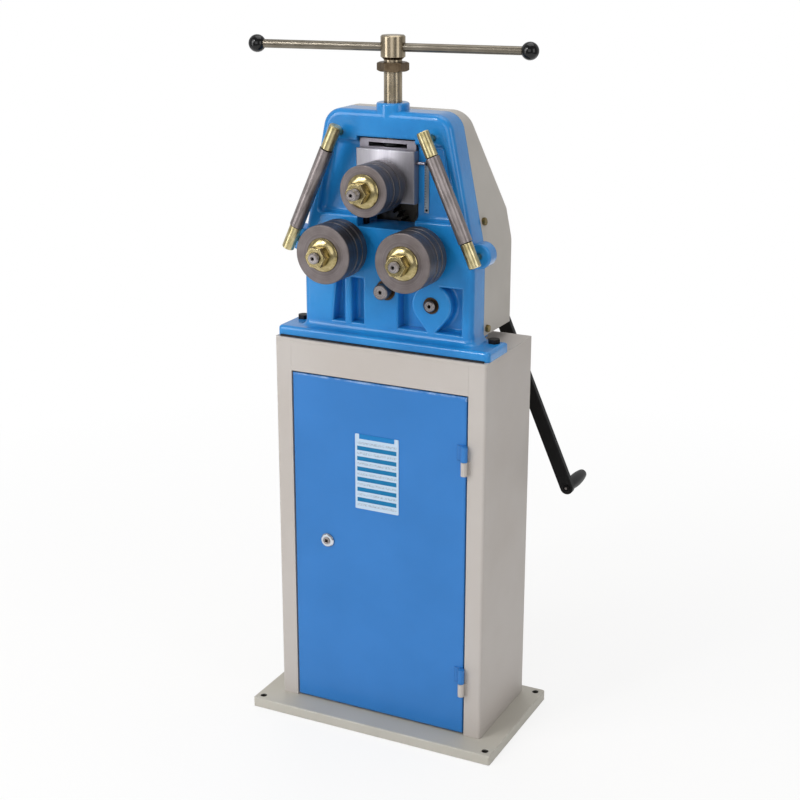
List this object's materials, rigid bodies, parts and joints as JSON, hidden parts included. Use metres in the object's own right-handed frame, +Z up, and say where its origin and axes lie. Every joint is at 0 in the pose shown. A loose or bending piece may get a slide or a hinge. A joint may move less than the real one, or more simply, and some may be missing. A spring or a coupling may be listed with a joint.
{
  "type": "hand-cranked roll bending machine",
  "caption": "Hand-cranked roll bending machine on a sheet-metal cabinet: geared lower rolls, screw-fed upper roll with tommy bar, slanted guide rollers and a hinged, lockable door.",
  "frame": {"origin": "on the floor, at the centre of the four anchor holes in the base plate", "axes": "+X to the right of an operator who faces the rolls, +Y from the rolls back to the crank, +Z up"},
  "size_m": [0.5789, 0.5002, 1.3825],
  "materials": {
    "stand_paint": "warm grey semi-gloss enamel on folded sheet",
    "cover_paint": "grey semi-gloss enamel on sheet",
    "casting_paint": "blue gloss enamel brushed over iron casting",
    "door_paint": "blue semi-gloss enamel on sheet",
    "label_plate": "pale printed sheet, stripes only",
    "lock_chrome": "polished",
    "roll_steel": "hardened and ground steel discs",
    "ground_steel": "surface ground",
    "bright_steel": "turned, lightly oiled",
    "yellow_zinc": "yellow passivated zinc plate",
    "black_oxide": "black oxide",
    "black_enamel": "black gloss enamel",
    "ball_plastic": "moulded phenolic",
    "grip_plastic": "moulded",
    "bronze": "plain bearing bronze",
    "gear_steel": "hobbed, greased",
    "scale_metal": "plain strip with divisions",
    "hinge_paint": "door enamel"
  },
  "bodies": {
    "stand": {"base_plate": "stand_paint", "stand_left_side": "stand_paint", "stand_right_side": "stand_paint", "stand_front_rail": "stand_paint", "stand_back": "stand_paint", "stand_top": "stand_paint", "hinge_seats": "stand_paint", "head_casting": "casting_paint", "head_bolts": "black_oxide", "gear_cover": "cover_paint", "cover_screws": "yellow_zinc", "shaft_bushes": "bronze", "guide_keys": "ground_steel", "screw_nut": "bronze", "depth_scale": "scale_metal", "guide_studs": "yellow_zinc", "guide_end_blocks": "yellow_zinc", "bearing_plate": "ground_steel", "plate_pillars": "bright_steel"},
    "door": {"door_panel": "door_paint", "door_knuckles": "hinge_paint", "door_label": "label_plate", "lock_housing": "lock_chrome"},
    "lock": {"lock_plug": "lock_chrome", "lock_tongue": "yellow_zinc"},
    "crank": {"crank_shaft": "bright_steel", "crank_pinion": "gear_steel", "crank_arm": "black_enamel", "crank_bolt": "yellow_zinc", "grip_pin": "bright_steel"},
    "grip": {"crank_grip": "grip_plastic"},
    "intermediate": {"intermediate_shaft": "bright_steel", "intermediate_gear": "gear_steel", "intermediate_pinion": "gear_steel"},
    "left_drive": {"left_roll_shaft": "bright_steel", "left_roll_gear": "gear_steel", "left_rolls": "roll_steel", "left_washer": "yellow_zinc", "left_nut": "yellow_zinc"},
    "right_drive": {"right_roll_shaft": "bright_steel", "right_roll_gear": "gear_steel", "right_rolls": "roll_steel", "right_washer": "yellow_zinc", "right_nut": "yellow_zinc"},
    "slide": {"slide_block": "ground_steel", "slide_bushes": "bronze", "screw_keeper": "ground_steel", "depth_pointer": "bright_steel"},
    "top_roller": {"top_shaft": "bright_steel", "top_rolls": "roll_steel", "top_washer": "yellow_zinc", "top_nut": "yellow_zinc", "top_collar": "ground_steel"},
    "screw": {"feed_screw": "bright_steel", "screw_collar": "ground_steel", "screw_lock_nut": "bright_steel"},
    "tommy": {"tommy_bar": "bright_steel", "ball_knobs": "ball_plastic"},
    "left_guide": {"left_guide_sleeve": "ground_steel"},
    "right_guide": {"right_guide_sleeve": "ground_steel"}
  },
  "joints": [
    {"name": "door_swing", "type": "hinge", "parent": "stand", "child": "door", "pos_m": [0.1873, -0.105, 0.1106], "axis": [0, 0, 1], "range_deg": [0, 120]},
    {"name": "lock_turn", "type": "hinge", "parent": "door", "child": "lock", "pos_m": [-0.114, -0.098, 0.387], "axis": [0, 1, 0], "range_deg": [0, 90]},
    {"name": "crank_spin", "type": "hinge", "parent": "stand", "child": "crank", "pos_m": [0.09537, 0.205, 0.88953], "axis": [0, 1, 0], "continuous": true},
    {"name": "grip_spin", "type": "hinge", "parent": "crank", "child": "grip", "pos_m": [0.28376, 0.2536, 0.4644], "axis": [0, 1, 0], "continuous": true},
    {"name": "intermediate_spin", "type": "hinge", "parent": "stand", "child": "intermediate", "pos_m": [0, 0.074, 0.9098], "axis": [0, 1, 0], "continuous": true},
    {"name": "left_roll_spin", "type": "hinge", "parent": "stand", "child": "left_drive", "pos_m": [-0.0825, -0.062, 0.98847], "axis": [0, 1, 0], "continuous": true},
    {"name": "right_roll_spin", "type": "hinge", "parent": "stand", "child": "right_drive", "pos_m": [0.0825, -0.062, 0.98847], "axis": [0, 1, 0], "continuous": true},
    {"name": "slide_travel", "type": "slide", "parent": "stand", "child": "slide", "axis": [0, 0, 1], "range_m": [-0.0481, 0.0031]},
    {"name": "top_roll_spin", "type": "hinge", "parent": "slide", "child": "top_roller", "pos_m": [0, -0.0652, 1.11245], "axis": [0, 1, 0], "continuous": true},
    {"name": "screw_turn", "type": "hinge", "parent": "slide", "child": "screw", "pos_m": [0, -0.031, 1.26105], "axis": [0, 0, 1], "range_deg": [-2880, 180]},
    {"name": "tommy_slide", "type": "slide", "parent": "screw", "child": "tommy", "axis": [0.9871, 0.1599, 0], "range_m": [-0.21907, 0.23007]},
    {"name": "left_guide_spin", "type": "hinge", "parent": "stand", "child": "left_guide", "pos_m": [-0.0955, -0.09, 1.20405], "axis": [0.4122, 0, 0.9111], "continuous": true},
    {"name": "right_guide_spin", "type": "hinge", "parent": "stand", "child": "right_guide", "pos_m": [0.0955, -0.09, 1.20405], "axis": [-0.4122, 0, 0.9111], "continuous": true}
  ],
  "couplings": [
    {"joint": "intermediate_spin", "follows": "crank_spin", "ratio": -0.3},
    {"joint": "left_roll_spin", "follows": "crank_spin", "ratio": 0.15},
    {"joint": "right_roll_spin", "follows": "crank_spin", "ratio": 0.15},
    {"joint": "slide_travel", "follows": "screw_turn", "m_per_rad": 0.00095493}
  ]
}
